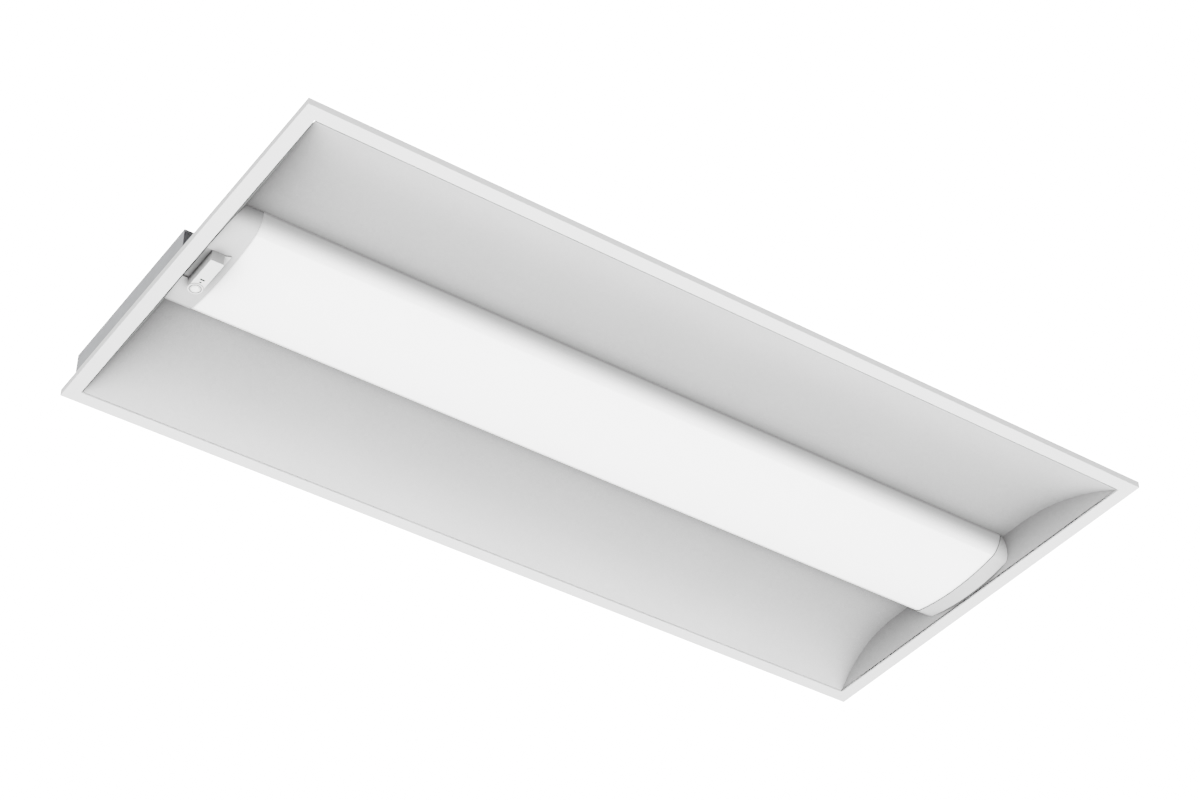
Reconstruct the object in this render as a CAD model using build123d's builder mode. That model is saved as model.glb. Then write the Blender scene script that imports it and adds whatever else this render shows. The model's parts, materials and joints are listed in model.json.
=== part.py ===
from build123d import *
from math import hypot, radians, sqrt, tan
import os

# Recessed troffer light for a 2 ft by 4 ft ceiling grid, with a snap-in lens and a built-in sensor.
# Millimetres.  X runs along the light, with the sensor at the -X (left) end.  Y runs across it, and
# the -Y side is called near.  Z is up, and Z = 0 is the face of the trim frame that rests on the grid.

os.makedirs("parts", exist_ok=True)

LEFT, RIGHT = -1, 1
NEAR, FAR = -1, 1
SIDES = {"near": NEAR, "far": FAR}
ENDS = {"left": LEFT, "right": RIGHT}

# ---------------------------------------------------------------- driving dimensions

# trim frame
frame_length = 1212.85  # 47 3/4 in
frame_width = 603.25  # 23 3/4 in
face_width = 18.5
sheet = 0.8  # steel sheet of the frame, housing and reflectors
frame_wall_height = 9.5
return_height = 2.4
frame_bend = 0.5

# housing rails and end plates
housing_setback = 11.5  # frame's outer edge to the housing's wall
housing_height = 22.0
lip_width = 14.0
foot_width = 5.0
corner_gap = 0.2
tie_hole_radius = 2.75
tie_hole_end = 154.925  # from the end plate to a tie hole
tie_hole_inset = 7.0

# reflectors
reflector_gap = 2.0  # shadow gap inside the frame's return
reflector_top = 31.0
reflector_edge_z = 1.35
cove_start = 130.0  # half the width over which the reflectors are flat
inner_leg_height = 10.0
left_end_run = 16.0  # how far the left end reflector leans inwards
right_end_run = 24.0
end_reflector_low = 2.6
end_tuck = 4.0  # side reflectors run this far past the end reflectors' faces
fit_gap = 0.15  # between sheets that lie beside each other

# lens and caps: a D section with a gently crowned face
lens_half_width = 92.5
lens_low = 1.2
lens_crown_radius = 360.0
lens_crown_half = 75.0
lens_cheek_y = 86.6  # a point on the rounded cheek between the crown and the side
lens_cheek_z = 17.4
lens_blend = 12.0  # rounds the outline where its arcs meet
lens_top = 37.0
lens_wall = 1.8
lens_bead = 0.9
lens_bead_height = 1.6
left_seam_inset = 39.4  # from the reflectors' end to a seam
right_seam_inset = 27.9
seam_gap = 0.5
cap_proud = 0.9  # caps stand this far outside the lens
cap_wall = 1.8
cap_side_gap = 0.6  # cap to side reflector
cap_end_gap = 0.5  # cap to end reflector
right_cap_inset = 2.9
right_cap_round = 3.0
cap_step = 1.5
tongue_length = 9.0
tongue_wall = 1.2
tongue_gap = 0.4
cap_post_y = 62.0
cap_post_radius = 2.9
cap_post_inset = 5.0

# LED tray on the back of the reflectors
tray_top = 45.0
tray_inset = 11.0
tray_flange = 25.0

# LED boards
board_width = 24.0
board_thickness = 1.6
board_row_y = 36.0
board_gap = 3.0
board_end_margin = 10.0
chips_per_board = 24
chip_length = 3.5
chip_width = 2.8
chip_height = 0.7
board_screw_margin = 12.0
board_screw_offset = -7.5
connector_offset = 7.0
connector_length = 9.0
connector_width = 7.0
connector_height = 4.0
connector_inset = 4.0
jumper_radius = 0.9
jumper_spacing = 3.0

# lens springs
spring_count = 3
spring_pitch = 405.0
spring_width = 14.0
spring_sheet = 0.5
spring_low = 33.0
spring_foot = 9.0
spring_tab = 2.2
spring_gap = 0.3

# sensor
sensor_inset = 15.7  # from the reflectors' end to the sensor's middle
sensor_width = 17.2
sensor_near_y = -33.5
sensor_low = -13.0
sensor_top = 8.4
sensor_corner = 2.0
sensor_head_height = 10.5
waist_inset = 0.8
sensor_base_low = 0.5
sensor_base_gap = 0.4
ledge_z = 3.0  # floor of the shallow strip beside the sensor
ring_y = 20.5
ring_radius = 9.2
ring_wall = 1.5
ring_height = 0.8
dome_radius = 6.9
dome_height = 3.6
window_y = 2.9
window_length = 6.0
window_width = 2.8
small_window_y = 7.9
small_window_length = 3.0
small_window_width = 2.2
window_depth = 0.6
notch_reach = 15.7  # from the sensor's middle to the notch's right edge
notch_gap = 0.5
notch_flare = 2.6
notch_far_reach = 3.5
pocket_wall = 1.2
cable_hole_radius = 2.5
bracket_sheet = 1.0
bracket_offset = 14.2
bracket_near_y = -25.0
bracket_far_y = 15.0
bracket_reach = 14.0
bracket_foot = 9.0
sensor_screw_ys = (-15.0, 5.0)
sensor_cable_radius = 1.75
sensor_cable_offset = 6.2
sensor_cable_y = -29.3
sensor_cable_low = 17.5
cable_run_bend = 2.0
cable_run_z = 30.0

# wiring box, on the far half of the left end
box_near_y = 12.5
box_length = 130.0
box_top = 61.0
box_skirt_low = 1.4
box_tab = 12.0
box_tab_y = 75.0
box_foot_inset = 8.5
knockout_radius = 11.1
knockout_inset = 75.125
knockout_z = 46.8

# driver and wiring
driver_inset = 62.9
driver_near_gap = 29.1
driver_far_gap = 10.1
driver_width = 60.0
driver_height = 22.0
driver_round = 1.5
driver_ear = 9.0
driver_ear_width = 16.0
driver_ear_height = 1.5
driver_ear_inset = 22.0
terminal_length = 14.0
terminal_width = 26.0
terminal_height = 11.0
terminal_spacing = 28.0
disconnect_inset = 20.3
disconnect_y = 36.0
disconnect_length = 26.0
disconnect_width = 17.0
disconnect_height = 10.0
bushing_offset = 12.0
bushing_y = 72.0
bushing_bore = 6.0
bushing_wall = 1.2
bushing_rim = 2.0
bushing_rim_height = 1.5
supply_wire_radius = 1.3
supply_wire_spacing = 5.0
supply_wire_z = 50.0
led_lead_radius = 1.6
led_lead_bend = 5.0
led_lead_z = 35.0
far_lead_bend = 7.5
far_run_y = 60.0
far_lead_high = 39.0
far_lead_low = 33.0
bushing_ring = 3.0  # the cables pass the bushing this far from its middle
led_lead_top_z = 53.0
sensor_cable_top_z = 57.4
terminal_pitch = 6.0
ground_wire_offset = -4.5
ground_wire_z = 47.5
neutral_wire_offset = -10.0
line_wire_offset = -18.0
wire_drop_gap = 13.0  # wires turn down this far before the terminals
wire_drop_run = 5.5
ground_screw_y = 84.0

# screws
screw_radius = 1.5
screw_head_radius = 3.0
screw_head_height = 1.6
screw_length = 5.0
short_screw_length = 3.0
screw_slot_width = 0.8
screw_slot_depth = 0.7

# grid clips
clip_end = 194.925  # from the end plate to a clip's pivot
clip_pivot_inset = 28.0
clip_bracket_width = 20.0
clip_bracket_sheet = 1.2
clip_bracket_top = 40.0
clip_bracket_foot = 26.0
clip_pad_half = 9.0
clip_thickness = 1.2
clip_width = 15.0
clip_reach = 45.0
clip_tab_height = 2.0
clip_pin_radius = 2.5
clip_pin_gap = 0.05
clip_play = 0.3  # room above and below a clip's plate
clip_tab_length = 1.2
rivet_head_radius = 4.5
rivet_head_height = 1.4

# ---------------------------------------------------------------- sizes that follow

frame_half_length = frame_length / 2
frame_half_width = frame_width / 2
opening_half_length = frame_half_length - face_width
opening_half_width = frame_half_width - face_width
wall_x = frame_half_length - housing_setback  # outer face of an end plate
wall_y = frame_half_width - housing_setback  # outer face of a side rail
lip_under = housing_height - sheet

reflector_edge_x = opening_half_length - reflector_gap
reflector_edge_y = opening_half_width - reflector_gap
reflector_inner_y = lens_half_width + cap_proud + cap_side_gap
reflector_drop = reflector_top - reflector_edge_z
cove_radius = ((reflector_edge_y - cove_start) ** 2 + reflector_drop**2) / (2 * reflector_drop)
end_rise = reflector_top - end_reflector_low
end_run = {LEFT: left_end_run, RIGHT: right_end_run}

tray_inner_y = reflector_inner_y + sheet + fit_gap
tray_outer_y = tray_inner_y + sheet
tray_under = tray_top - sheet
tray_flange_low = reflector_top + sheet
tray_flange_top = tray_flange_low + sheet
tray_half_length = reflector_edge_x - tray_inset

left_seam_x = left_seam_inset - reflector_edge_x
right_seam_x = reflector_edge_x - right_seam_inset
right_cap_end = reflector_edge_x - right_cap_inset
seam_x = {LEFT: left_seam_x, RIGHT: right_seam_x}
lens_middle_x = (left_seam_x + right_seam_x) / 2
crown_rise = lens_crown_radius - sqrt(lens_crown_radius**2 - lens_crown_half**2)
tongue_out = lens_wall + tongue_gap
tongue_in = tongue_out + tongue_wall

board_length = (right_seam_x - left_seam_x - 2 * board_end_margin - board_gap) / 2
board_low = tray_under - board_thickness
board_step = (board_length + board_gap) / 2
board_rows = (-board_row_y, board_row_y)
board_centres = [(lens_middle_x + end * board_step, row) for row in board_rows for end in (LEFT, RIGHT)]
board_screw_xs = (board_screw_margin - board_length / 2, board_length / 2 - board_screw_margin)
board_screw_points = [(x + dx, y + board_screw_offset) for x, y in board_centres for dx in board_screw_xs]

cap_post_walls = {LEFT: cap_wall / 2 - cap_proud, RIGHT: tongue_out + tongue_wall / 2}
cap_screw_points = [(x - cap_post_inset, side * cap_post_y) for x in seam_x.values() for side in (NEAR, FAR)]
sensor_x = sensor_inset - reflector_edge_x
notch_x = sensor_x + notch_reach
waist_low = sensor_low + sensor_head_height
pocket_top = sensor_top + pocket_wall
bracket_x = sensor_x + bracket_offset
sensor_cable_x = sensor_x + sensor_cable_offset
bracket_screw_points = [(bracket_x + bracket_foot / 2, y) for y in sensor_screw_ys]
sensor_screw_x = bracket_x - bracket_reach / 2 - bracket_sheet

box_outer_x = wall_x + sheet  # the box's end wall laps outside the end plate
box_right_x = box_length - box_outer_x
box_step_y = tray_outer_y + fit_gap
box_floor_top = tray_flange_top + sheet
box_wall_top = box_top - sheet
box_foot_point = (foot_width - wall_x, box_near_y + box_foot_inset)
knockout_y = wall_y - knockout_inset
disconnect_x = box_right_x - disconnect_inset
ground_screw_x = disconnect_x
box_tab_point = (box_right_x + box_tab / 2, box_tab_y)
lid_screw_points = [
    (x, y)
    for x in (box_tab / 2 - wall_x, box_right_x - sheet - box_tab / 2)
    for y in (box_near_y + sheet + box_tab / 2, wall_y - sheet - box_tab / 2)
]
screw_hole_radius = screw_radius + fit_gap

driver_x = driver_inset - wall_x
driver_near_y = box_step_y + driver_near_gap
driver_far_y = wall_y - driver_far_gap
bushing_x = driver_x + bushing_offset
ear_points = [
    (driver_x + end * (driver_width + driver_ear) / 2, y)
    for end in (LEFT, RIGHT)
    for y in (driver_near_y + driver_ear_inset, driver_far_y - driver_ear_inset)
]
terminal_y = driver_near_y - terminal_length
wire_drop_y = terminal_y - wire_drop_gap
terminal_z = box_floor_top + terminal_height / 2


def cove_height(y, radius=cove_radius):
    """Height of the cove's arc of this radius at a distance y from the light's middle."""
    return reflector_top - cove_radius + sqrt(radius**2 - (y - cove_start) ** 2)


def end_face(end, shift):
    """Plane of an end reflector's sloping face, moved outwards along X by shift."""
    return Plane(
        origin=(end * (reflector_edge_x + shift), 0, end_reflector_low),
        x_dir=(0, 1, 0),
        z_dir=(end * end_rise, 0, end_run[end]),
    )


def slab(low, high, mode=Mode.ADD):
    """Block between two opposite corners, in the part being built."""
    size = [b - a for a, b in zip(low, high)]
    with Locations(tuple((a + b) / 2 for a, b in zip(low, high))):
        Box(*size, mode=mode)


def d_prism(grow, x_start, x_end):
    """Prism of the lens's D section, swollen by grow, between two stations along X."""
    low = lens_low - grow
    half = lens_crown_half + grow / 2
    crown_end = lens_low + crown_rise - grow
    cheek = (lens_cheek_y + grow * 0.8, lens_cheek_z - grow * 0.5)
    side = lens_half_width + grow
    with BuildPart() as prism:
        with BuildSketch(Plane.YZ.offset(x_start)) as outline:
            with BuildLine():
                ThreePointArc((-half, crown_end), (0, low), (half, crown_end))
                ThreePointArc((half, crown_end), cheek, (side, reflector_top))
                Polyline((side, reflector_top), (side, lens_top), (-side, lens_top), (-side, reflector_top))
                ThreePointArc((-side, reflector_top), (-cheek[0], cheek[1]), (-half, crown_end))
            make_face()
            levels = outline.vertices().group_by(Axis.Y)
            fillet(levels[0] + levels[1], lens_blend)
        extrude(amount=x_end - x_start)
    return prism.part


def screws(points, length=screw_length, head_up=True):
    """Slotted pan head screws, each seated under its head on one of these points."""
    turn = (0, 0, 0) if head_up else (180, 0, 0)
    with BuildPart() as group:
        with Locations(*[Location(point, turn) for point in points]):
            Cylinder(screw_head_radius, screw_head_height, align=(Align.CENTER, Align.CENTER, Align.MIN))
            Cylinder(screw_radius, length, align=(Align.CENTER, Align.CENTER, Align.MAX))
        crown = Location((0, 0, screw_head_height))
        with Locations(*[Location(point, turn) * crown for point in points]):
            Box(
                2 * screw_head_radius,
                screw_slot_width,
                screw_slot_depth,
                align=(Align.CENTER, Align.CENTER, Align.MAX),
                mode=Mode.SUBTRACT,
            )
    return group.part


def wire(points, radius):
    """Round wire along straight runs, joined by the largest arcs that the runs leave room for."""
    corners = zip(points, points[1:], points[2:])
    bends = []
    for before, corner, after in corners:
        into = Vector(*corner) - Vector(*before)
        onward = Vector(*after) - Vector(*corner)
        turn = radians(into.get_angle(onward))
        bends.append(0.45 * min(into.length, onward.length) / tan(turn / 2))
    with BuildPart() as run:
        with BuildLine() as route:
            FilletPolyline(*points, radius=bends)
        path = route.wire()
        with BuildSketch(Plane(origin=path @ 0, z_dir=path % 0)):
            Circle(radius)
        sweep(path=path)
    return run.part


def keep(piece, name):
    """Label a finished piece and write it to a file of its own."""
    piece.label = name
    export_step(piece, f"parts/{name}.step")


# ---------------------------------------------------------------- trim frame

with BuildPart() as trim_frame:
    with BuildSketch(Plane.XY):
        Rectangle(frame_length, frame_width)
        Rectangle(2 * opening_half_length, 2 * opening_half_width, mode=Mode.SUBTRACT)
    extrude(amount=sheet)
    with BuildSketch(Plane.XY):
        Rectangle(frame_length, frame_width)
        Rectangle(frame_length - 2 * sheet, frame_width - 2 * sheet, mode=Mode.SUBTRACT)
    extrude(amount=frame_wall_height)
    with BuildSketch(Plane.XY):
        Rectangle(2 * (opening_half_length + sheet), 2 * (opening_half_width + sheet))
        Rectangle(2 * opening_half_length, 2 * opening_half_width, mode=Mode.SUBTRACT)
    extrude(amount=return_height)
    fillet(trim_frame.edges().group_by(Axis.Z)[0], frame_bend)
keep(trim_frame.part, "trim_frame")

# ---------------------------------------------------------------- housing

tie_holes = [(end * (wall_x - tie_hole_end), wall_y - tie_hole_inset) for end in (LEFT, RIGHT)]

for side_name, side in SIDES.items():
    inward = (Align.MAX if side == FAR else Align.MIN, Align.MIN)
    with BuildPart() as side_rail:
        with BuildSketch(Plane.YZ):
            with Locations((side * wall_y, sheet)):
                Rectangle(sheet, housing_height - sheet, align=inward)
        extrude(amount=wall_x - sheet, both=True)
        with BuildSketch(Plane.YZ):
            with Locations((side * wall_y, lip_under)):
                Rectangle(lip_width, sheet, align=inward)
        extrude(amount=wall_x - lip_width - corner_gap, both=True)
        with BuildSketch(Plane.YZ):
            with Locations((side * wall_y, sheet)):
                Rectangle(foot_width + sheet, sheet, align=inward)
        extrude(amount=wall_x - sheet - foot_width - corner_gap, both=True)
        with Locations(*[(x, side * y, housing_height) for x, y in tie_holes]):
            Hole(tie_hole_radius, depth=2 * sheet)
    keep(side_rail.part, f"side_rail_{side_name}")

for end_name, end in ENDS.items():
    inward = (Align.MAX if end == RIGHT else Align.MIN, Align.MIN)
    with BuildPart() as end_plate:
        with BuildSketch(Plane.XZ):
            with Locations((end * wall_x, sheet)):
                Rectangle(sheet, housing_height - sheet, align=inward)
        extrude(amount=wall_y, both=True)
        with BuildSketch(Plane.XZ):
            with Locations((end * wall_x, lip_under)):
                Rectangle(lip_width, sheet, align=inward)
            with Locations((end * wall_x, sheet)):
                Rectangle(foot_width + sheet, sheet, align=inward)
        extrude(amount=wall_y - sheet, both=True)
        if end == LEFT:
            with Locations((*box_foot_point, housing_height)):
                Hole(screw_hole_radius, depth=2 * sheet)
    keep(end_plate.part, f"end_plate_{end_name}")

# ---------------------------------------------------------------- reflectors

for side_name, side in SIDES.items():
    edge = reflector_edge_y
    middle = (edge + cove_start) / 2
    back_radius = cove_radius + sheet
    leg_top = reflector_top + inner_leg_height
    with BuildPart() as side_reflector:
        with BuildSketch(Plane.YZ):
            with BuildLine():
                ThreePointArc(
                    (side * edge, cove_height(edge)),
                    (side * middle, cove_height(middle)),
                    (side * cove_start, reflector_top),
                )
                Polyline(
                    (side * cove_start, reflector_top),
                    (side * reflector_inner_y, reflector_top),
                    (side * reflector_inner_y, leg_top),
                    (side * (reflector_inner_y + sheet), leg_top),
                    (side * (reflector_inner_y + sheet), tray_flange_low),
                    (side * cove_start, tray_flange_low),
                )
                ThreePointArc(
                    (side * cove_start, tray_flange_low),
                    (side * middle, cove_height(middle, back_radius)),
                    (side * (edge - sheet), cove_height(edge - sheet, back_radius)),
                )
                Polyline(
                    (side * (edge - sheet), cove_height(edge - sheet, back_radius)),
                    (side * (edge - sheet), lip_under),
                    (side * edge, lip_under),
                    (side * edge, cove_height(edge)),
                )
            make_face()
        extrude(amount=reflector_edge_x, both=True)
        for end in (LEFT, RIGHT):
            split(bisect_by=end_face(end, end_tuck), keep=Keep.BOTTOM)
    keep(side_reflector.part, f"side_reflector_{side_name}")

for end_name, end in ENDS.items():
    end_slant = hypot(end_run[end], end_rise)
    back_low = end_reflector_low + sheet * (end_slant + end_rise) / end_run[end]
    face_top_x = reflector_edge_x - end_run[end]
    back_top_x = face_top_x + sheet * end_slant / end_rise
    edge = reflector_edge_y - sheet - fit_gap
    edge_top = cove_height(edge) - fit_gap
    middle = (edge + cove_start) / 2
    middle_top = cove_height(middle) - fit_gap
    flat_top = reflector_top - fit_gap
    with BuildPart() as end_reflector:
        with BuildSketch(Plane.XZ):
            with BuildLine():
                Polyline(
                    (end * reflector_edge_x, end_reflector_low),
                    (end * reflector_edge_x, lip_under),
                    (end * (reflector_edge_x - sheet), lip_under),
                    (end * (reflector_edge_x - sheet), back_low),
                    (end * back_top_x, reflector_top),
                    (end * face_top_x, reflector_top),
                    close=True,
                )
            make_face()
        extrude(amount=edge, both=True)
        with BuildSketch(Plane.YZ):
            with BuildLine():
                ThreePointArc((edge, edge_top), (middle, middle_top), (cove_start, flat_top))
                Line((cove_start, flat_top), (-cove_start, flat_top))
                ThreePointArc((-cove_start, flat_top), (-middle, middle_top), (-edge, edge_top))
                Polyline((-edge, edge_top), (-edge, 0), (edge, 0), (edge, edge_top))
            make_face()
        extrude(amount=frame_half_length, both=True, mode=Mode.INTERSECT)
    keep(end_reflector.part, f"end_reflector_{end_name}")

# ---------------------------------------------------------------- LED tray

tray_holes = board_screw_points + cap_screw_points + bracket_screw_points
tray_holes += [box_tab_point, (ground_screw_x, ground_screw_y)]

with BuildPart() as led_tray:
    with BuildSketch(Plane.YZ):
        with Locations((0, tray_under)):
            Rectangle(2 * tray_outer_y, sheet, align=(Align.CENTER, Align.MIN))
        for side in (NEAR, FAR):
            outward = (Align.MIN if side == FAR else Align.MAX, Align.MIN)
            with Locations((side * tray_inner_y, tray_flange_low)):
                Rectangle(sheet, tray_top - tray_flange_low, align=outward)
                Rectangle(sheet + tray_flange, sheet, align=outward)
    extrude(amount=tray_half_length, both=True)
    for end in (LEFT, RIGHT):
        inner_x, outer_x = sorted((end * (tray_half_length - sheet), end * tray_half_length))
        slab((inner_x, -tray_inner_y, tray_flange_top), (outer_x, tray_inner_y, tray_under))
    with Locations(*[(x, y, tray_top) for x, y in tray_holes]):
        Hole(screw_hole_radius, depth=2 * sheet)
    with Locations((bushing_x, bushing_y, tray_top)):
        Hole(bushing_bore + bushing_wall, depth=2 * sheet)
keep(led_tray.part, "led_tray")

# ---------------------------------------------------------------- LED boards

for number, (x, y) in enumerate(board_centres, start=1):
    with BuildPart() as led_board:
        with Locations((x, y, board_low)):
            Box(board_length, board_width, board_thickness, align=(Align.CENTER, Align.CENTER, Align.MIN))
        with Locations(*[(x + dx, y + board_screw_offset, tray_under) for dx in board_screw_xs]):
            Hole(screw_hole_radius, depth=2 * board_thickness)
    keep(led_board.part, f"led_board_{number}")

with BuildPart() as led_chips:
    for x, y in board_centres:
        with Locations((x, y, board_low)):
            with GridLocations(board_length / chips_per_board, board_width, chips_per_board, 1):
                Box(chip_length, chip_width, chip_height, align=(Align.CENTER, Align.CENTER, Align.MAX))
keep(led_chips.part, "led_chips")

with BuildPart() as board_connectors:
    for x, y in board_centres:
        for end in (LEFT, RIGHT):
            with Locations((x + end * (board_length / 2 - connector_inset), y + connector_offset, board_low)):
                Box(
                    connector_length,
                    connector_width,
                    connector_height,
                    align=(Align.MAX if end == RIGHT else Align.MIN, Align.CENTER, Align.MAX),
                )
keep(board_connectors.part, "board_connectors")

jumper_length = board_gap + 2 * connector_inset
with BuildPart() as board_jumpers:
    for row in board_rows:
        with Locations((lens_middle_x, row + connector_offset, board_low - connector_height / 2)):
            with GridLocations(jumper_length, jumper_spacing, 1, 2):
                Cylinder(jumper_radius, jumper_length, rotation=(0, 90, 0))
keep(board_jumpers.part, "board_jumpers")

keep(screws([(x, y, board_low) for x, y in board_screw_points], head_up=False), "board_screws")

# ---------------------------------------------------------------- lens and its springs

lens_left = left_seam_x + seam_gap / 2
lens_right = right_seam_x - seam_gap / 2
lens_outside = d_prism(0, lens_left, lens_right)
lens_inside = d_prism(-lens_wall, lens_left, lens_right)

with BuildPart() as lens:
    add(lens_outside)
    add(lens_inside, mode=Mode.SUBTRACT)
    slab(
        (lens_left, lens_wall - lens_half_width, reflector_top),
        (lens_right, lens_half_width - lens_wall, lens_top),
        mode=Mode.SUBTRACT,
    )
    for side in (NEAR, FAR):
        with BuildSketch(Plane.YZ.offset(lens_left)):
            with BuildLine():
                Polyline(
                    (side * lens_half_width, lens_top),
                    (side * (lens_half_width + lens_bead), lens_top),
                    (side * (lens_half_width + lens_bead), lens_top - lens_bead_height / 2),
                    (side * lens_half_width, lens_top - lens_bead_height),
                    close=True,
                )
            make_face()
        extrude(amount=lens_right - lens_left)
keep(lens.part, "lens")

spring_y = lens_half_width - lens_wall - spring_gap  # outer face of a spring's leaf
with BuildPart() as lens_springs:
    for side in (NEAR, FAR):
        for step in range(spring_count):
            x = lens_middle_x + (step - (spring_count - 1) / 2) * spring_pitch
            low_x, high_x = x - spring_width / 2, x + spring_width / 2
            leaf = sorted((side * (spring_y - spring_sheet), side * spring_y))
            foot = sorted((side * (spring_y - spring_foot), side * spring_y))
            tab = sorted((side * (spring_y - spring_sheet), side * (spring_y + spring_tab)))
            tab_low = lens_top + spring_gap
            slab((low_x, leaf[0], spring_low), (high_x, leaf[1], tray_under))
            slab((low_x, foot[0], tray_under - spring_sheet), (high_x, foot[1], tray_under))
            slab((low_x, tab[0], tab_low), (high_x, tab[1], tab_low + spring_sheet))
keep(lens_springs.part, "lens_springs")

# ---------------------------------------------------------------- caps at the lens's ends


def cap_tongue(end):
    """Step and tongue that reach from a cap into the lens, as a list of what to add and what to cut."""
    seam = seam_x[end]
    root = seam + end * (seam_gap / 2 + cap_step)
    tip = seam - end * tongue_length
    return [
        (d_prism(0, *sorted((root, seam + end * seam_gap / 2))), Mode.ADD),
        (d_prism(-tongue_out, *sorted((root, tip))), Mode.ADD),
        (d_prism(-tongue_in, *sorted((root, tip))), Mode.SUBTRACT),
    ]


def cap_posts(end):
    """Posts that carry a cap from the LED tray, with a pilot hole in each for its screw."""
    post_x = seam_x[end] - cap_post_inset
    low = lens_low + cap_post_y**2 / (2 * lens_crown_radius) + cap_post_walls[end]
    with Locations(*[(post_x, side * cap_post_y, low) for side in (NEAR, FAR)]):
        Cylinder(cap_post_radius, tray_under - low, align=(Align.CENTER, Align.CENTER, Align.MIN))
    with Locations(*[(post_x, side * cap_post_y, tray_under) for side in (NEAR, FAR)]):
        Hole(screw_radius, depth=screw_length)


left_edge = left_seam_x - seam_gap / 2
right_edge = right_seam_x + seam_gap / 2
plate_shell = d_prism(cap_proud, -frame_half_length, left_edge)
plate_hollow = d_prism(cap_proud - cap_wall, -frame_half_length, left_edge)
plate_tongue = cap_tongue(LEFT)


def pocket_block(grow, top):
    """Block of the sensor pocket's plan, swollen by grow, from the sensor's face up to top."""
    near_y = sensor_near_y - notch_gap - grow
    body_x = sensor_x + sensor_width / 2
    right_x = notch_x + grow
    far_y = ring_y + notch_far_reach + grow
    with BuildPart() as block:
        with BuildSketch(Plane.XY.offset(sensor_low)):
            with BuildLine():
                Polyline(
                    (-frame_half_length, near_y),
                    (body_x, near_y),
                    (right_x, near_y - notch_flare),
                    (right_x, far_y),
                    (-frame_half_length, far_y),
                    close=True,
                )
            make_face()
            with Locations((sensor_x, ring_y)):
                Circle(ring_radius + notch_gap + grow)
        extrude(amount=top - sensor_low)
    return block.part


waist_x = sensor_x - sensor_width / 2 + waist_inset
pocket_outside = pocket_block(pocket_wall, pocket_top)
pocket_inside = pocket_block(0, sensor_top)
with BuildPart() as pocket_hollow:
    add(pocket_inside)
    slab(
        (-frame_half_length, sensor_near_y - sensor_width, ledge_z),
        (waist_x - sensor_base_gap, ring_y + sensor_width, pocket_top),
        mode=Mode.SUBTRACT,
    )

with BuildPart() as sensor_pocket:
    add(pocket_outside)
    add(plate_shell, mode=Mode.INTERSECT)

with BuildPart() as sensor_plate:
    add(plate_shell)
    add(plate_hollow, mode=Mode.SUBTRACT)
    add(sensor_pocket.part)
    for piece, mode in plate_tongue:
        add(piece, mode=mode)
    split(bisect_by=end_face(LEFT, -cap_end_gap), keep=Keep.BOTTOM)
    cap_posts(LEFT)
    add(pocket_hollow.part, mode=Mode.SUBTRACT)
    with Locations(*[(sensor_screw_x, y, pocket_top) for y in sensor_screw_ys]):
        Hole(screw_hole_radius, depth=2 * pocket_wall)
    with Locations((sensor_cable_x, sensor_cable_y, pocket_top)):
        Hole(cable_hole_radius, depth=2 * pocket_wall)
keep(sensor_plate.part, "sensor_plate")

cap_shell = d_prism(cap_proud, right_edge, right_cap_end)
cap_hollow = d_prism(cap_proud - cap_wall, right_edge, right_cap_end - cap_wall)
right_tongue = cap_tongue(RIGHT)

with BuildPart() as end_cap:
    add(cap_shell)
    outer_edges = end_cap.faces().sort_by(Axis.X)[-1].edges().sort_by(Axis.Z)[:-1]
    fillet(outer_edges, right_cap_round)
    add(cap_hollow, mode=Mode.SUBTRACT)
    for piece, mode in right_tongue:
        add(piece, mode=mode)
    split(bisect_by=end_face(RIGHT, -cap_end_gap), keep=Keep.BOTTOM)
    cap_posts(RIGHT)
keep(end_cap.part, "end_cap")

keep(screws([(x, y, tray_top) for x, y in cap_screw_points]), "cap_screws")

# ---------------------------------------------------------------- sensor

base_block = pocket_block(-sensor_base_gap, sensor_top)
with BuildPart() as sensor_base:
    add(base_block)
    split(bisect_by=Plane.XY.offset(sensor_base_low), keep=Keep.TOP)

with BuildPart() as sensor_body:
    with BuildSketch(Plane.XY.offset(sensor_low)) as outline:
        with Locations((sensor_x, sensor_near_y)):
            Rectangle(sensor_width, ring_y - sensor_near_y, align=(Align.CENTER, Align.MIN))
        fillet(outline.vertices().group_by(Axis.Y)[0], sensor_corner)
        with Locations((sensor_x, ring_y)):
            Circle(sensor_width / 2)
    extrude(amount=sensor_top - sensor_low)
    add(sensor_base.part)
    slab(
        (-frame_half_length, sensor_near_y - sensor_width, waist_low),
        (waist_x, ring_y + sensor_width, sensor_top),
        mode=Mode.SUBTRACT,
    )
    with BuildSketch(Plane.XY.offset(sensor_low)):
        with Locations((sensor_x, window_y)):
            Rectangle(window_length, window_width)
        with Locations((sensor_x, small_window_y)):
            Rectangle(small_window_length, small_window_width)
    extrude(amount=window_depth, mode=Mode.SUBTRACT)
    with Locations(*[(sensor_screw_x, y, sensor_top) for y in sensor_screw_ys]):
        Hole(screw_radius, depth=screw_length - bracket_sheet)
keep(sensor_body.part, "sensor_body")

with BuildPart() as sensor_windows:
    with BuildSketch(Plane.XY.offset(sensor_low)):
        with Locations((sensor_x, window_y)):
            Rectangle(window_length, window_width)
        with Locations((sensor_x, small_window_y)):
            Rectangle(small_window_length, small_window_width)
    extrude(amount=window_depth)
keep(sensor_windows.part, "sensor_windows")

with BuildPart() as sensor_ring:
    with BuildSketch(Plane.XY.offset(sensor_low - ring_height)):
        with Locations((sensor_x, ring_y)):
            Circle(ring_radius)
            Circle(ring_radius - ring_wall, mode=Mode.SUBTRACT)
    extrude(amount=ring_height)
    fillet(sensor_ring.edges().group_by(Axis.Z)[0], ring_height / 3)
keep(sensor_ring.part, "sensor_ring")

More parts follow.
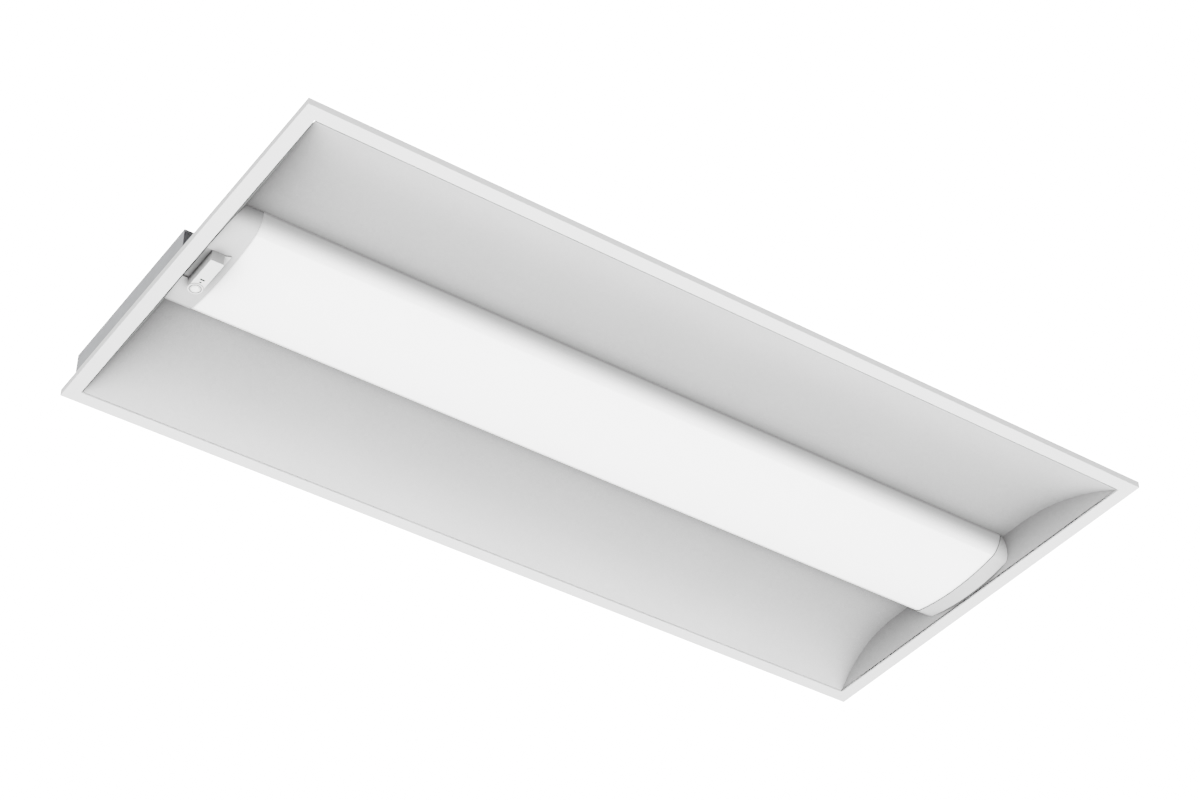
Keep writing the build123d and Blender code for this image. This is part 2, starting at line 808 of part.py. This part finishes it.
dome_sphere = (dome_radius**2 + dome_height**2) / (2 * dome_height)
with BuildPart() as sensor_dome:
    with Locations((sensor_x, ring_y, sensor_low - dome_height + dome_sphere)):
        Sphere(dome_sphere)
    split(bisect_by=Plane.XY.offset(sensor_low), keep=Keep.BOTTOM)
keep(sensor_dome.part, "sensor_dome")

with BuildPart() as sensor_bracket:
    plate_top = pocket_top + bracket_sheet
    slab(
        (bracket_x - bracket_sheet - bracket_reach, bracket_near_y, pocket_top),
        (bracket_x, bracket_far_y, plate_top),
    )
    slab((bracket_x - bracket_sheet, bracket_near_y, pocket_top), (bracket_x, bracket_far_y, tray_under))
    slab(
        (bracket_x - bracket_sheet, bracket_near_y, tray_under - bracket_sheet),
        (bracket_x + bracket_foot, bracket_far_y, tray_under),
    )
    with Locations(*[(sensor_screw_x, y, plate_top) for y in sensor_screw_ys]):
        Hole(screw_hole_radius, depth=2 * bracket_sheet)
    with Locations(*[(x, y, tray_under) for x, y in bracket_screw_points]):
        Hole(screw_hole_radius, depth=2 * bracket_sheet)
keep(sensor_bracket.part, "sensor_bracket")

sensor_screw_seats = [(sensor_screw_x, y, pocket_top + bracket_sheet) for y in sensor_screw_ys]
sensor_screw_seats += [(x, y, tray_top) for x, y in bracket_screw_points]
keep(screws(sensor_screw_seats), "sensor_screws")

# ---------------------------------------------------------------- wiring box

strip_x = -tray_half_length - fit_gap
foot_x = lip_width - wall_x
with BuildPart() as wiring_box:
    slab((-wall_x, box_step_y, tray_flange_top), (box_right_x, wall_y, box_floor_top))
    slab((-box_outer_x, box_near_y, box_skirt_low), (-wall_x, wall_y, box_wall_top))
    slab((-box_outer_x, wall_y - sheet, housing_height), (box_right_x, wall_y, box_wall_top))
    slab((box_right_x - sheet, box_near_y, tray_top), (box_right_x, box_step_y, box_wall_top))
    slab((box_right_x - sheet, box_step_y, tray_flange_top), (box_right_x, wall_y, box_wall_top))
    slab((-wall_x, box_near_y, tray_top), (box_right_x, box_near_y + sheet, box_wall_top))
    slab((-wall_x, box_near_y, tray_flange_low), (strip_x, box_near_y + sheet, tray_top))
    slab((-wall_x, box_near_y, housing_height), (foot_x, box_near_y + sheet, tray_flange_low))
    slab((-wall_x, box_near_y, housing_height), (foot_x, box_step_y, housing_height + sheet))
    slab(
        (box_right_x - sheet, box_tab_y - box_tab / 2, tray_top),
        (box_right_x + box_tab, box_tab_y + box_tab / 2, tray_top + sheet),
    )
    for x, y in lid_screw_points:
        slab(
            (x - box_tab / 2, y - box_tab / 2, box_wall_top - sheet),
            (x + box_tab / 2, y + box_tab / 2, box_wall_top),
        )
    with Locations(*[(x, y, box_wall_top) for x, y in lid_screw_points]):
        Hole(screw_hole_radius, depth=2 * sheet)
    with Locations((*box_foot_point, housing_height + sheet), (*box_tab_point, tray_top + sheet)):
        Hole(screw_hole_radius, depth=2 * sheet)
    with Locations(*[(x, y, box_floor_top) for x, y in ear_points]):
        Hole(screw_hole_radius, depth=2 * sheet)
    with Locations(Location((box_right_x, knockout_y, knockout_z), (0, 90, 0))):
        Hole(knockout_radius, depth=2 * sheet)
keep(wiring_box.part, "wiring_box")

with BuildPart() as box_lid:
    slab((-box_outer_x, box_near_y, box_wall_top), (box_right_x, wall_y, box_top))
    with Locations(*[(x, y, box_top) for x, y in lid_screw_points]):
        Hole(screw_hole_radius, depth=2 * sheet)
keep(box_lid.part, "box_lid")

keep(screws([(x, y, box_top) for x, y in lid_screw_points]), "lid_screws")
keep(
    screws([(*box_foot_point, housing_height + sheet), (*box_tab_point, tray_top + sheet)]),
    "box_screws",
)

# ---------------------------------------------------------------- driver

with BuildPart() as led_driver:
    with Locations((driver_x, driver_near_y, box_floor_top)):
        Box(
            driver_width,
            driver_far_y - driver_near_y,
            driver_height,
            align=(Align.CENTER, Align.MIN, Align.MIN),
        )
    upright = led_driver.edges().filter_by(Axis.Z)
    fillet(upright + led_driver.edges().group_by(Axis.Z)[-1], driver_round)
    with Locations(*[(x, y, box_floor_top) for x, y in ear_points]):
        Box(
            driver_ear,
            driver_ear_width,
            driver_ear_height,
            align=(Align.CENTER, Align.CENTER, Align.MIN),
        )
    with Locations(*[(x, y, box_floor_top + driver_ear_height) for x, y in ear_points]):
        Hole(screw_hole_radius, depth=2 * driver_ear_height)
keep(led_driver.part, "led_driver")

driver_screw_seats = [(x, y, box_floor_top + driver_ear_height) for x, y in ear_points]
keep(screws(driver_screw_seats, length=short_screw_length), "driver_screws")

with BuildPart() as driver_terminals:
    with Locations((driver_x, driver_near_y, box_floor_top)):
        with GridLocations(terminal_spacing, terminal_length, 2, 1):
            Box(
                terminal_width,
                terminal_length,
                terminal_height,
                align=(Align.CENTER, Align.MAX, Align.MIN),
            )
keep(driver_terminals.part, "driver_terminals")

with BuildPart() as supply_disconnect:
    with Locations((disconnect_x, disconnect_y, tray_top)):
        Box(
            disconnect_length,
            disconnect_width,
            disconnect_height,
            align=(Align.CENTER, Align.CENTER, Align.MIN),
        )
    fillet(supply_disconnect.edges().filter_by(Axis.Z), driver_round)
keep(supply_disconnect.part, "supply_disconnect")

with BuildPart() as wire_bushing:
    with Locations((bushing_x, bushing_y, tray_top)):
        Cylinder(
            bushing_bore + bushing_wall + bushing_rim,
            bushing_rim_height,
            align=(Align.CENTER, Align.CENTER, Align.MIN),
        )
        Cylinder(bushing_bore + bushing_wall, 2 * sheet, align=(Align.CENTER, Align.CENTER, Align.MAX))
    with Locations((bushing_x, bushing_y, tray_top + bushing_rim_height)):
        Hole(bushing_bore, depth=2 * bushing_rim_height + 2 * sheet)
keep(wire_bushing.part, "wire_bushing")

keep(screws([(ground_screw_x, ground_screw_y, tray_top)]), "ground_screw")

# ---------------------------------------------------------------- wires

supply_left_x = disconnect_x - disconnect_length / 2
drop_end_y = wire_drop_y + wire_drop_run
for name, offset, wire_x in (
    ("wire_line", -supply_wire_spacing / 2, driver_x + line_wire_offset),
    ("wire_neutral", supply_wire_spacing / 2, driver_x + neutral_wire_offset),
):
    wire_y = disconnect_y + offset
    supply_wire = wire(
        [
            (supply_left_x, wire_y, supply_wire_z),
            (wire_x, wire_y, supply_wire_z),
            (wire_x, wire_drop_y, supply_wire_z),
            (wire_x, drop_end_y, terminal_z),
            (wire_x, terminal_y, terminal_z),
        ],
        supply_wire_radius,
    )
    keep(supply_wire, name)

ground_wire_x = driver_x + ground_wire_offset
ground_wire = wire(
    [
        (ground_screw_x - screw_head_radius, ground_screw_y, tray_top + supply_wire_radius + fit_gap),
        (ground_wire_x, ground_screw_y, ground_wire_z),
        (ground_wire_x, wire_drop_y, ground_wire_z),
        (ground_wire_x, drop_end_y, terminal_z),
        (ground_wire_x, terminal_y, terminal_z),
    ],
    supply_wire_radius,
)
keep(ground_wire, "wire_ground")

connector_x = board_centres[0][0] - board_length / 2 + connector_inset
connector_z = board_low - connector_height / 2
lead_terminal_x = driver_x + terminal_spacing / 2
ring_x = bushing_ring * sqrt(3) / 2
ring_up = bushing_ring / 2


def cable_end(x, y, end_x, top_z):
    """Last points of a cable that rises through the bushing at x, y and ends in the driver's terminal."""
    return [
        (x, y, top_z),
        (end_x, wire_drop_y, top_z),
        (end_x, drop_end_y, terminal_z),
        (end_x, terminal_y, terminal_z),
    ]


led_lead_bend_x = left_seam_x + led_lead_bend
lead_x, lead_y = bushing_x - ring_x, bushing_y + ring_up
near_lead = wire(
    [
        (connector_x, connector_offset - board_row_y, connector_z),
        (led_lead_bend_x, connector_offset - board_row_y, connector_z),
        (led_lead_bend_x, 0, led_lead_z),
        (led_lead_bend_x, lead_y, led_lead_z),
        (lead_x, lead_y, led_lead_z),
        *cable_end(lead_x, lead_y, lead_terminal_x - terminal_pitch, led_lead_top_z),
    ],
    led_lead_radius,
)
keep(near_lead, "led_lead_near")

lead_x = bushing_x + ring_x
far_bend_x = left_seam_x + far_lead_bend
far_lead = wire(
    [
        (connector_x, board_row_y + connector_offset, connector_z),
        (far_bend_x, board_row_y + connector_offset, connector_z),
        (far_bend_x, far_run_y, far_lead_high),
        (lead_x, far_run_y, far_lead_low),
        (lead_x, lead_y, far_lead_low),
        *cable_end(lead_x, lead_y, lead_terminal_x, led_lead_top_z),
    ],
    led_lead_radius,
)
keep(far_lead, "led_lead_far")

cable_run_x = left_seam_x + cable_run_bend
cable_run_y = bushing_y - bushing_ring
sensor_cable = wire(
    [
        (sensor_cable_x, sensor_cable_y, sensor_top),
        (sensor_cable_x, sensor_cable_y, sensor_cable_low),
        (cable_run_x, sensor_cable_y, sensor_cable_low),
        (cable_run_x, sensor_cable_y, cable_run_z),
        (cable_run_x, cable_run_y, cable_run_z),
        (bushing_x, cable_run_y, cable_run_z),
        *cable_end(bushing_x, cable_run_y, lead_terminal_x + terminal_pitch, sensor_cable_top_z),
    ],
    sensor_cable_radius,
)
keep(sensor_cable, "sensor_cable")

# ---------------------------------------------------------------- grid clips

pad_low = clip_bracket_top - clip_bracket_sheet
clip_low = clip_bracket_top + clip_play
clip_high = clip_low + clip_thickness
rivet_top = clip_high + clip_play
riser_y = wall_y - clip_pivot_inset - clip_pad_half
foot_y = riser_y + clip_bracket_foot + clip_pad_half
bracket_half = clip_bracket_width / 2

for side_name, side in SIDES.items():
    for end_name, end in ENDS.items():
        place = f"{side_name}_{end_name}"
        middle_x = end * (wall_x - clip_end)
        pivot_y = side * (wall_y - clip_pivot_inset)

        with BuildPart() as clip_bracket:
            foot = sorted((side * riser_y, side * foot_y))
            riser = sorted((side * riser_y, side * (riser_y + clip_bracket_sheet)))
            pad = sorted((side * riser_y, side * (riser_y + 2 * clip_pad_half)))
            low_x, high_x = middle_x - bracket_half, middle_x + bracket_half
            slab((low_x, foot[0], housing_height), (high_x, foot[1], housing_height + clip_bracket_sheet))
            slab((low_x, riser[0], housing_height), (high_x, riser[1], clip_bracket_top))
            slab((low_x, pad[0], pad_low), (high_x, pad[1], clip_bracket_top))
            with Locations((middle_x, pivot_y, clip_bracket_top)):
                Hole(clip_pin_radius, depth=2 * clip_bracket_sheet)
        keep(clip_bracket.part, f"clip_bracket_{place}")

        with BuildPart() as grid_clip:
            with BuildSketch(Plane.XY.offset(clip_low)):
                with Locations((middle_x, pivot_y)):
                    Circle(clip_width / 2)
                    Rectangle(
                        clip_reach,
                        clip_width,
                        align=(Align.MAX if end == RIGHT else Align.MIN, Align.CENTER),
                    )
                    Circle(clip_pin_radius + clip_pin_gap, mode=Mode.SUBTRACT)
            extrude(amount=clip_thickness)
            tip = sorted((middle_x - end * clip_reach, middle_x - end * (clip_reach - clip_tab_length)))
            slab(
                (tip[0], pivot_y - clip_width / 2, clip_low - clip_tab_height),
                (tip[1], pivot_y + clip_width / 2, clip_high),
            )
        keep(grid_clip.part, f"grid_clip_{place}")

        with BuildPart() as clip_rivet:
            with Locations((middle_x, pivot_y, pad_low)):
                Cylinder(
                    rivet_head_radius,
                    rivet_head_height,
                    align=(Align.CENTER, Align.CENTER, Align.MAX),
                )
                Cylinder(
                    clip_pin_radius,
                    rivet_top - pad_low,
                    align=(Align.CENTER, Align.CENTER, Align.MIN),
                )
            with Locations((middle_x, pivot_y, rivet_top)):
                Cylinder(
                    rivet_head_radius,
                    rivet_head_height,
                    align=(Align.CENTER, Align.CENTER, Align.MIN),
                )
            fillet(clip_rivet.edges().group_by(Axis.Z)[-1], rivet_head_height / 3)
        keep(clip_rivet.part, f"clip_rivet_{place}")
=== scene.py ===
import json
from math import cos, sin

import bmesh
import bpy
from mathutils import Matrix, Vector


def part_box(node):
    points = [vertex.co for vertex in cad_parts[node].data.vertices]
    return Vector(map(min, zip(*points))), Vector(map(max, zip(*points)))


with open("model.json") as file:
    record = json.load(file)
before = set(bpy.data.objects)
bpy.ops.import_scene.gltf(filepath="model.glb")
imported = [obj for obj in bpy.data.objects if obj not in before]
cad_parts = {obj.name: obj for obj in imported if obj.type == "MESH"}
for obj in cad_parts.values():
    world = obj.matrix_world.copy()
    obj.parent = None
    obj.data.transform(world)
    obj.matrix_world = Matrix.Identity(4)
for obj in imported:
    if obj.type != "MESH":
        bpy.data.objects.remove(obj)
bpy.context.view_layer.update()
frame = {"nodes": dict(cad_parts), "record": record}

# Recessed troffer light, seen from below.  Metres; +X along the light, +Y across it, +Z into the ceiling.

# ---------------------------------------------------------------- camera

LENS_MM = 83.764
CAMERA_PLACE = Vector((-1.56204, -2.23521, -2.14493))
CAMERA_HEADING = 0.966031
CAMERA_RISE = 0.681819
CAMERA_ROLL = -0.003649

ahead = Vector((
    cos(CAMERA_RISE) * cos(CAMERA_HEADING),
    cos(CAMERA_RISE) * sin(CAMERA_HEADING),
    sin(CAMERA_RISE),
))
level_right = ahead.cross(Vector((0, 0, 1))).normalized()
level_up = level_right.cross(ahead)
right = cos(CAMERA_ROLL) * level_right + sin(CAMERA_ROLL) * level_up
up = cos(CAMERA_ROLL) * level_up - sin(CAMERA_ROLL) * level_right

lens_data = bpy.data.cameras.new("photo_camera")
lens_data.sensor_width = 36.0
lens_data.lens = LENS_MM
lens_data.clip_end = 100.0
camera = bpy.data.objects.new("photo_camera", lens_data)
camera.matrix_world = Matrix.Translation(CAMERA_PLACE) @ Matrix((right, up, -ahead)).transposed().to_4x4()
bpy.context.scene.collection.objects.link(camera)
bpy.context.scene.camera = camera

# ---------------------------------------------------------------- materials

# The photo shades its hollows softly, as a catalogue picture does.  Some finishes carry that in their colour,
# by how open a place is and, in the coves, by its height.  None of it depends on the camera.
DEEPEST_PAINTED_SHADE = 0.08  # share of its colour that the painted shade leaves a surface in the tightest corner
PAINTED_SHADE_REACH_MM = 220.0  # how far away a wall still adds painted shade to a place
COVE_LOW, COVE_TOP = (corner[2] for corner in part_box("side_reflector_near"))


def linear(hex_colour):
    """sRGB hex colour as linear red, green, blue and full alpha."""
    parts = [int(hex_colour[i:i + 2], 16) / 255 for i in (1, 3, 5)]
    parts = [c / 12.92 if c <= 0.04045 else ((c + 0.055) / 1.055) ** 2.4 for c in parts]
    return (*parts, 1.0)


def add_node(tree, kind, settings=None, inputs=None):
    """Adds a node, sets its properties, and sets or links its inputs."""
    node = tree.nodes.new(kind)
    for name, value in (settings or {}).items():
        setattr(node, name, value)
    for name, value in (inputs or {}).items():
        socket = node.inputs[name]
        if isinstance(value, bpy.types.NodeSocket):
            tree.links.new(value, socket)
        else:
            socket.default_value = value
    return node


def new_material(name):
    """Empty node material with its output, Principled shader and Object coordinates."""
    material = bpy.data.materials.new(name)
    material.use_nodes = True
    tree = material.node_tree
    tree.nodes.clear()
    shader = add_node(tree, "ShaderNodeBsdfPrincipled")
    output = add_node(tree, "ShaderNodeOutputMaterial")
    tree.links.new(shader.outputs["BSDF"], output.inputs["Surface"])
    place = add_node(tree, "ShaderNodeTexCoord").outputs["Object"]
    return material, tree, shader, place


def two_tone(tree, factor, low, high, low_at=0.35, high_at=0.65):
    """Colour that goes from one hex tone to another as a noise factor rises."""
    ramp = add_node(tree, "ShaderNodeValToRGB", inputs={"Fac": factor})
    ramp.color_ramp.elements[0].position = low_at
    ramp.color_ramp.elements[0].color = linear(low)
    ramp.color_ramp.elements[1].position = high_at
    ramp.color_ramp.elements[1].color = linear(high)
    return ramp.outputs["Color"]


def painted_corner_shade(tree, colour, strength):
    """Paints shade into a colour in hollows and corners, where soft light hardly reaches, by its openness."""
    openness = add_node(tree, "ShaderNodeAmbientOcclusion", {"samples": 16}, {
        "Distance": PAINTED_SHADE_REACH_MM / 1000})
    depth = add_node(tree, "ShaderNodeMath", {"operation": "POWER"}, {0: openness.outputs["AO"], 1: strength})
    share = add_node(tree, "ShaderNodeMapRange", inputs={"Value": depth.outputs["Value"], "To Min": DEEPEST_PAINTED_SHADE})
    shaded = add_node(tree, "ShaderNodeMix", {"data_type": "RGBA", "blend_type": "MULTIPLY"}, {"Factor": 1.0})
    tree.links.new(colour, shaded.inputs[6])
    tree.links.new(share.outputs["Result"], shaded.inputs[7])
    return shaded.outputs[2]


def painted_height_shade(tree, place, colour, least):
    """Paints shade into the coat by height, dimming it from the frame's face to the top of the coves, down to
    its least share.
    """
    height = add_node(tree, "ShaderNodeSeparateXYZ", inputs={"Vector": place}).outputs["Z"]
    share = add_node(tree, "ShaderNodeMapRange", {"interpolation_type": "SMOOTHSTEP"}, {
        "Value": height, "From Min": COVE_LOW, "From Max": COVE_TOP, "To Min": 1.0, "To Max": least})
    dimmed = add_node(tree, "ShaderNodeMix", {"data_type": "RGBA", "blend_type": "MULTIPLY"}, {"Factor": 1.0})
    tree.links.new(colour, dimmed.inputs[6])
    tree.links.new(share.outputs["Result"], dimmed.inputs[7])
    return dimmed.outputs[2]


def powder_coat(name, low, high, roughness, peel_mm=1.6, peel_depth_mm=0.01, shade=0.0, least=1.0):
    """White polyester powder coat: even and satin, with the faint orange peel of a baked coat, and, with
    shade, painted shade in its colour.
    """
    material, tree, shader, place = new_material(name)
    cloud = add_node(tree, "ShaderNodeTexNoise", inputs={"Vector": place, "Scale": 9.0, "Detail": 3.0})
    peel = add_node(tree, "ShaderNodeTexNoise", inputs={
        "Vector": place, "Scale": 1000 / peel_mm, "Detail": 2.0})
    bump = add_node(tree, "ShaderNodeBump", inputs={
        "Height": peel.outputs["Fac"], "Strength": 0.25, "Distance": peel_depth_mm / 1000})
    spread = add_node(tree, "ShaderNodeMapRange", inputs={
        "Value": cloud.outputs["Fac"], "To Min": roughness - 0.03, "To Max": roughness + 0.03})
    colour = two_tone(tree, cloud.outputs["Fac"], low, high)
    # Painted shade: darker in corners and hollows, and towards the top of the coves
    if shade:
        colour = painted_height_shade(tree, place, painted_corner_shade(tree, colour, shade), least)
    tree.links.new(colour, shader.inputs["Base Color"])
    tree.links.new(spread.outputs["Result"], shader.inputs["Roughness"])
    tree.links.new(bump.outputs["Normal"], shader.inputs["Normal"])
    shader.inputs["IOR"].default_value = 1.5
    return material


def moulded_plastic(name, low, high, roughness, grain_mm=0.5, ior=1.5, glow=0.0, shade=0.0):
    """Injection moulded plastic with a fine spark-eroded grain; shade adds painted shade in corners, glow a
    painted glow.
    """
    material, tree, shader, place = new_material(name)
    cloud = add_node(tree, "ShaderNodeTexNoise", inputs={"Vector": place, "Scale": 25.0, "Detail": 3.0})
    grain = add_node(tree, "ShaderNodeTexNoise", inputs={
        "Vector": place, "Scale": 1000 / grain_mm, "Detail": 2.0})
    bump = add_node(tree, "ShaderNodeBump", inputs={
        "Height": grain.outputs["Fac"], "Strength": 0.2, "Distance": 0.00002})
    spread = add_node(tree, "ShaderNodeMapRange", inputs={
        "Value": cloud.outputs["Fac"], "To Min": roughness - 0.04, "To Max": roughness + 0.04})
    colour = two_tone(tree, cloud.outputs["Fac"], low, high)
    # Painted shade: darker in corners and hollows
    if shade:
        colour = painted_corner_shade(tree, colour, shade)
    tree.links.new(colour, shader.inputs["Base Color"])
    tree.links.new(spread.outputs["Result"], shader.inputs["Roughness"])
    tree.links.new(bump.outputs["Normal"], shader.inputs["Normal"])
    shader.inputs["IOR"].default_value = ior
    # Painted glow: the surface gives out light in its own colour
    if glow:
        tree.links.new(colour, shader.inputs["Emission Color"])
        shader.inputs["Emission Strength"].default_value = glow
    return material


def galvanised_sheet(name, low, high, roughness, spangle_mm=9.0):
    """Hot-dip galvanised sheet: grey zinc with soft crystal spangles and faint rolling lines."""
    material, tree, shader, place = new_material(name)
    spangle = add_node(tree, "ShaderNodeTexVoronoi", inputs={"Vector": place, "Scale": 1000 / spangle_mm})
    cloud = add_node(tree, "ShaderNodeTexNoise", inputs={"Vector": place, "Scale": 40.0, "Detail": 4.0})
    mixed = add_node(tree, "ShaderNodeMix", inputs={"A": spangle.outputs["Color"], "B": cloud.outputs["Fac"]})
    spread = add_node(tree, "ShaderNodeMapRange", inputs={
        "Value": mixed.outputs["Result"], "To Min": roughness - 0.08, "To Max": roughness + 0.08})
    bump = add_node(tree, "ShaderNodeBump", inputs={
        "Height": cloud.outputs["Fac"], "Strength": 0.15, "Distance": 0.00003})
    tree.links.new(two_tone(tree, mixed.outputs["Result"], low, high, 0.2, 0.8), shader.inputs["Base Color"])
    tree.links.new(spread.outputs["Result"], shader.inputs["Roughness"])
    tree.links.new(bump.outputs["Normal"], shader.inputs["Normal"])
    shader.inputs["Metallic"].default_value = 0.85
    return material


def turned_metal(name, low, high, roughness):
    """Zinc plated steel fastener: bright, with a faint turned grain across the head."""
    material, tree, shader, place = new_material(name)
    grain = add_node(tree, "ShaderNodeTexNoise", inputs={"Vector": place, "Scale": 900.0, "Detail": 3.0})
    spread = add_node(tree, "ShaderNodeMapRange", inputs={
        "Value": grain.outputs["Fac"], "To Min": roughness - 0.06, "To Max": roughness + 0.06})
    tree.links.new(two_tone(tree, grain.outputs["Fac"], low, high), shader.inputs["Base Color"])
    tree.links.new(spread.outputs["Result"], shader.inputs["Roughness"])
    shader.inputs["Metallic"].default_value = 1.0
    return material


# Frame, rails and end plates: white satin powder coat on steel
frame_coat = powder_coat("white_powder_coat", "#f5f5f5", "#f8f8f8", 0.5)
housing_coat = powder_coat("white_housing_coat", "#e6e6e5", "#ebebea", 0.5)
# Reflectors: matt white high-reflectance coat, softer than the frame's, in the grey that the photo gives it
# The coat's grey is painted shade on a white coat, and its colour also carries painted shade in corners and
# up the coves
reflector_coat = powder_coat(
    "matt_reflector_coat", "#d2d2d2", "#d5d5d5", 0.85,
    peel_mm=1.2, peel_depth_mm=0.006, shade=7.5, least=0.52)
# Lens: frosted extruded acrylic that scatters softly and reads as milky white; its glow is painted light, as
# if lit from inside, and its colour carries painted shade in corners
lens_acrylic = moulded_plastic(
    "frosted_acrylic", "#f2f2f2", "#f4f4f4", 0.5,
    grain_mm=0.3, ior=1.49, glow=3.5, shade=6.0)
# Caps: injection moulded polycarbonate, a touch greyer than the lens, with painted shade in corners
cap_plastic = moulded_plastic("moulded_polycarbonate", "#c6c6c6", "#cccccc", 0.5, ior=1.58, shade=3.4)
# Sensor: white ABS shell, thin milky polyethylene dome, and near-black windows of smoked polycarbonate; shell
# and dome carry painted shade in corners, and the dome's glow is painted light
sensor_shell = moulded_plastic("white_abs", "#f4f4f3", "#f8f8f7", 0.5, shade=3.2)
sensor_lens = moulded_plastic("milky_polyethylene", "#f2f3f1", "#f8f9f7", 0.15, ior=1.52, glow=1.2, shade=6.0)
dark_window = moulded_plastic("smoked_polycarbonate", "#060606", "#0a0a0a", 0.3, ior=1.3)
# Connectors, boards and leads: nylon, solder mask, LED phosphor and soft PVC insulation
nylon = moulded_plastic("white_nylon", "#e2e2dc", "#eaeae4", 0.5)
solder_mask = moulded_plastic("white_solder_mask", "#dfe3de", "#e8ebe6", 0.35, grain_mm=1.0)
phosphor = moulded_plastic("yellow_phosphor", "#e3c34a", "#ecd070", 0.35)
white_pvc = moulded_plastic("white_pvc", "#e2e2e0", "#eaeae8", 0.4)
grey_pvc = moulded_plastic("grey_pvc", "#84868a", "#8e9094", 0.45)
black_pvc = moulded_plastic("black_pvc", "#1a1a1b", "#242425", 0.4)
green_pvc = moulded_plastic("green_pvc", "#2c7d3c", "#348a46", 0.4)
# Box, tray and brackets: bare galvanised steel
zinc_sheet = galvanised_sheet("galvanised_steel", "#909295", "#a2a4a7", 0.45)
# Springs, clips and fasteners: bright steel and zinc plate; the driver's case has a pale enamel
spring_steel = turned_metal("spring_steel", "#a9abae", "#b9bbbe", 0.3)
zinc_plate = turned_metal("zinc_plated_steel", "#b8babb", "#cccdce", 0.32)
driver_coat = powder_coat("driver_enamel", "#dcdcd8", "#e4e4e0", 0.5)

FINISHES = {
    "white_enamel": frame_coat,
    "white_housing": housing_coat,
    "white_reflector": reflector_coat,
    "galvanised_steel": zinc_sheet,
    "zinc_screws": zinc_plate,
    "circuit_board": solder_mask,
    "led_phosphor": phosphor,
    "white_connector": nylon,
    "white_insulation": white_pvc,
    "frosted_acrylic": lens_acrylic,
    "cap_plastic": cap_plastic,
    "spring_steel": spring_steel,
    "sensor_plastic": sensor_shell,
    "sensor_dome_plastic": sensor_lens,
    "dark_window": dark_window,
    "black_insulation": black_pvc,
    "grey_insulation": grey_pvc,
    "green_insulation": green_pvc,
    "driver_enamel": driver_coat,
}

for entry in frame["record"]["subparts"]:
    node = frame["nodes"][entry["node"]]
    node.data.materials.clear()
    node.data.materials.append(FINISHES[entry["material_slot"]])

# ---------------------------------------------------------------- floor and light


FLOOR_HALF_WIDTH = 40.0
FLOOR_HEIGHT = -6.0


def studio_floor():
    """Plain pale floor, far below the light so that it never comes into the photograph's view."""
    shape = bmesh.new()
    bmesh.ops.create_grid(shape, x_segments=1, y_segments=1, size=FLOOR_HALF_WIDTH)
    bmesh.ops.translate(shape, verts=shape.verts, vec=(0, 0, FLOOR_HEIGHT))
    mesh = bpy.data.meshes.new("studio_floor")
    shape.to_mesh(mesh)
    shape.free()
    floor = bpy.data.objects.new("studio_floor", mesh)
    bpy.context.scene.collection.objects.link(floor)
    material, tree, shader, place = new_material("pale_floor")
    cloud = add_node(tree, "ShaderNodeTexNoise", inputs={"Vector": place, "Scale": 0.6, "Detail": 2.0})
    tree.links.new(two_tone(tree, cloud.outputs["Fac"], "#ececec", "#f0f0f0"), shader.inputs["Base Color"])
    shader.inputs["Roughness"].default_value = 0.8
    mesh.materials.append(material)


def softbox(name, place, aim, size, power):
    """Large soft area light that faces a point, and isn't seen itself."""
    data = bpy.data.lights.new(name, "AREA")
    data.shape = "RECTANGLE"
    data.size, data.size_y = size
    data.energy = power
    lamp = bpy.data.objects.new(name, data)
    toward = Vector(aim) - Vector(place)
    lamp.matrix_world = Matrix.Translation(place) @ toward.to_track_quat("-Z", "Y").to_matrix().to_4x4()
    lamp.visible_camera = False
    bpy.context.scene.collection.objects.link(lamp)


BACKDROP_STRENGTH = 20.0  # the plain white that the camera sees behind the light
DOME_DIM, DOME_BRIGHT = 0.1, 2.2  # the soft light's strength from the near side and from the far side

studio_floor()
world = bpy.data.worlds.new("studio")
world.use_nodes = True
world.node_tree.nodes.clear()
seen = add_node(world.node_tree, "ShaderNodeBackground", inputs={
    "Color": (1, 1, 1, 1), "Strength": BACKDROP_STRENGTH})
compass = add_node(world.node_tree, "ShaderNodeSeparateXYZ", inputs={
    "Vector": add_node(world.node_tree, "ShaderNodeTexCoord").outputs["Generated"]})
far_brighter = add_node(world.node_tree, "ShaderNodeMapRange", {"interpolation_type": "SMOOTHSTEP"}, {
    "Value": compass.outputs["Y"], "From Min": -0.5, "From Max": 1.0,
    "To Min": DOME_DIM, "To Max": DOME_BRIGHT})
dome = add_node(world.node_tree, "ShaderNodeBackground", inputs={
    "Color": (1, 1, 1, 1), "Strength": far_brighter.outputs["Result"]})
seen_rays = add_node(world.node_tree, "ShaderNodeLightPath").outputs["Is Camera Ray"]
both = add_node(world.node_tree, "ShaderNodeMixShader", inputs={"Fac": seen_rays})
world.node_tree.links.new(dome.outputs["Background"], both.inputs[1])
world.node_tree.links.new(seen.outputs["Background"], both.inputs[2])
add_node(world.node_tree, "ShaderNodeOutputWorld", inputs={"Surface": both.outputs["Shader"]})
bpy.context.scene.world = world
softbox("under_softbox", (-0.2, -1.3, -2.7), (0, 0, 0), (2.5, 2.5), 400.0)
softbox("top_softbox", (0.4, 0.6, 3.0), (0, 0, 0), (2.5, 2.5), 150.0)
softbox("left_softbox", (-4.0, 0.4, 0.6), (-0.6, 0, 0), (2.5, 1.6), 90.0)
